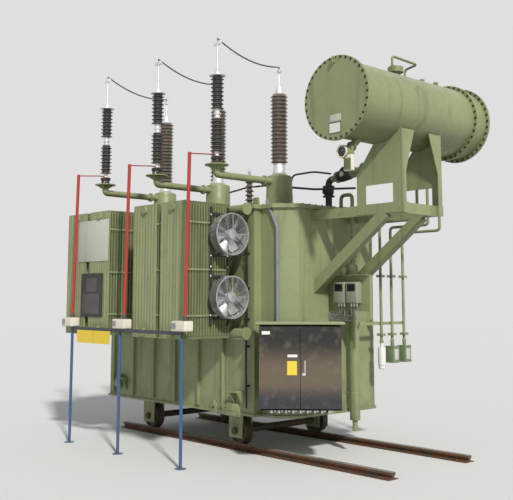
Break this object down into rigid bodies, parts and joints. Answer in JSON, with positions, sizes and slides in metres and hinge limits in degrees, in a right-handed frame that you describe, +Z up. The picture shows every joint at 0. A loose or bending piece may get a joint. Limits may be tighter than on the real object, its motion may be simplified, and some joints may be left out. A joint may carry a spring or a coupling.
{
  "type": "power transformer",
  "caption": "Oil-filled power transformer on rails with radiators, fans, conservator, high-voltage bushings, surge arresters and a control cabinet.",
  "frame": {"origin": "middle of the bounding box at ground level, under the rails and the feet of the counter rack", "axes": "+Z up, +X along the rails towards the conservator's end, +Y towards the side without radiators"},
  "size_m": [5.477, 3.498, 5.4127],
  "materials": {
    "green_paint": "satin",
    "grey_polymer": "matt",
    "porcelain": "gloss",
    "stainless": "brushed",
    "dark_steel": "worn",
    "zinc": "galvanised",
    "aluminium": "satin",
    "cream_box": "satin",
    "blue_post": "satin",
    "white_paint": "satin"
  },
  "bodies": {
    "base": {"arrester_1": "grey_polymer", "arrester_2": "grey_polymer", "arrester_3": "grey_polymer", "breather_1": "white_paint", "breather_2": "green_paint", "breather_3": "green_paint", "breather_holder": "green_paint", "bushing_1": "porcelain", "bushing_2": "porcelain", "bushing_3": "porcelain", "cabinet_body": "stainless", "cabinet_roof": "green_paint", "collector_bottom": "green_paint", "collector_top": "green_paint", "conduit": "grey_polymer", "conservator_cap_far": "green_paint", "conservator_cap_near": "green_paint", "conservator_shell": "green_paint", "counter_1": "cream_box", "counter_2": "cream_box", "counter_3": "cream_box", "counter_rack": "blue_post", "fan_frame": "dark_steel", "fan_lower_duct": "zinc", "fan_upper_duct": "zinc", "instrument_box_1": "grey_polymer", "instrument_box_2": "grey_polymer", "instrument_plate": "green_paint", "jumper_1": "aluminium", "jumper_2": "aluminium", "jumper_3": "aluminium", "level_gauge": "white_paint", "neutral_arrester": "grey_polymer", "neutral_bushing": "porcelain", "oil_pipe": "green_paint", "radiator_1": "green_paint", "radiator_2": "green_paint", "radiator_3": "green_paint", "radiator_4": "green_paint", "rail_far": "dark_steel", "rail_near": "dark_steel", "rating_board": "dark_steel", "relief_pipe": "green_paint", "support_far": "green_paint", "support_near": "green_paint", "support_tie": "green_paint", "tank_cover": "green_paint", "tank_floor": "green_paint", "tank_walls": "green_paint", "turret_1": "green_paint", "turret_2": "green_paint", "turret_3": "green_paint", "wheelset_1": "dark_steel", "wheelset_2": "dark_steel"},
    "door_left": {"cabinet_door_left": "stainless"},
    "door_right": {"cabinet_door_right": "stainless"},
    "rotor_upper": {"fan_upper_rotor": "zinc"},
    "rotor_lower": {"fan_lower_rotor": "zinc"}
  },
  "joints": [
    {"name": "cabinet_left_hinge", "type": "hinge", "parent": "base", "child": "door_left", "pos_m": [1.12072, -0.95201, 1.185], "axis": [0, 0, -1], "range_deg": [0, 110]},
    {"name": "cabinet_right_hinge", "type": "hinge", "parent": "base", "child": "door_right", "pos_m": [1.81227, -0.26046, 1.185], "axis": [0, 0, 1], "range_deg": [0, 110]},
    {"name": "upper_fan_shaft", "type": "hinge", "parent": "base", "child": "rotor_upper", "pos_m": [0.5155, -0.954, 2.83501], "axis": [1, 0, 0], "continuous": true},
    {"name": "lower_fan_shaft", "type": "hinge", "parent": "base", "child": "rotor_lower", "pos_m": [0.5155, -0.954, 2.03009], "axis": [1, 0, 0], "continuous": true}
  ]
}
